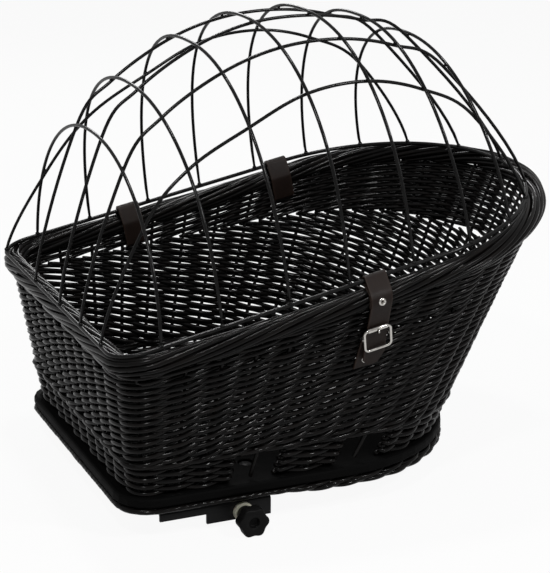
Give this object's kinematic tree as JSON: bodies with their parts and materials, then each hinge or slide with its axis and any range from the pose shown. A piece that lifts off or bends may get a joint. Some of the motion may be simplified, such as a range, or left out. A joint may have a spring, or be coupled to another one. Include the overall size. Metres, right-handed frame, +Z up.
{
  "type": "dog bicycle basket",
  "caption": "Black wicker dog basket for a bicycle carrier, flat low front and round raised rear, hinged wire dome, leather straps with roller buckle, carrier clamp with star knob.",
  "frame": {"origin": "middle of the clamp plate's underside, the face that rests on the carrier", "axes": "+Z up, +X towards the round rear end, +Y towards the hinge side"},
  "size_m": [0.4997, 0.4131, 0.4514],
  "materials": {
    "black_willow": "satin",
    "black_board": "satin",
    "black_wire": "gloss",
    "brown_leather": "satin",
    "nickel_steel": "gloss",
    "yellow_zinc": "satin",
    "black_steel": "satin",
    "black_plastic": "matte"
  },
  "bodies": {
    "basket": {"base_board": "black_board", "foot_border": "black_willow", "wicker_wall": "black_willow", "rim_border": "black_willow", "hinge_strap_1": "brown_leather", "hinge_strap_2": "brown_leather", "hinge_strap_rivet_1": "nickel_steel", "hinge_strap_rivet_2": "nickel_steel", "buckle_frame": "nickel_steel", "buckle_centre_bar": "nickel_steel", "lower_strap": "brown_leather", "lower_strap_rivet": "nickel_steel", "clamp_plate": "black_steel", "plate_spacer_1": "black_steel", "plate_spacer_2": "black_steel", "plate_spacer_3": "black_steel", "plate_spacer_4": "black_steel", "carriage_bolt_1": "black_steel", "carriage_bolt_2": "black_steel", "carriage_bolt_3": "black_steel", "carriage_bolt_4": "black_steel", "bolt_nut_1": "black_steel", "bolt_nut_2": "black_steel", "bolt_nut_3": "black_steel", "bolt_nut_4": "black_steel", "fixed_jaw": "black_steel"},
    "dome": {"cage_ring": "black_wire", "long_wire_1": "black_wire", "long_wire_2": "black_wire", "long_wire_3": "black_wire", "long_wire_4": "black_wire", "long_wire_5": "black_wire", "hoop_1": "black_wire", "hoop_2": "black_wire", "hoop_3": "black_wire", "hoop_4": "black_wire", "hoop_5": "black_wire", "hoop_6": "black_wire", "hoop_7": "black_wire", "tongue_strap": "brown_leather", "tongue_strap_rivet": "nickel_steel"},
    "knob": {"clamp_stud": "yellow_zinc", "stud_washer": "yellow_zinc", "star_knob": "black_plastic"},
    "jaw": {"moving_jaw": "black_steel", "jaw_nut": "yellow_zinc"},
    "roller": {"buckle_roller": "nickel_steel"},
    "prong": {"buckle_prong": "nickel_steel"}
  },
  "joints": [
    {"name": "dome_hinge", "type": "hinge", "parent": "basket", "child": "dome", "pos_m": [0.03452, 0.188, 0.19531], "axis": [-0.9815, 0, -0.1914], "range_deg": [0, 95], "deforming": ["tongue_strap"]},
    {"name": "knob_turn", "type": "hinge", "parent": "basket", "child": "knob", "pos_m": [0.026, -0.1525, -0.0082], "axis": [0, -1, 0], "range_deg": [0, 2160]},
    {"name": "jaw_slide", "type": "slide", "parent": "basket", "child": "jaw", "axis": [0, -1, 0], "range_m": [0, 0.006]},
    {"name": "roller_spin", "type": "hinge", "parent": "basket", "child": "roller", "pos_m": [0.13755, -0.20095, 0.17194], "axis": [0.9815, 0, 0.1914], "continuous": true},
    {"name": "prong_swing", "type": "hinge", "parent": "basket", "child": "prong", "pos_m": [0.13921, -0.19038, 0.16341], "axis": [0.9815, 0, 0.1914], "range_deg": [0, 70]}
  ],
  "couplings": [
    {"joint": "knob_turn", "follows": "jaw_slide", "rad_per_m": 6283.2}
  ]
}
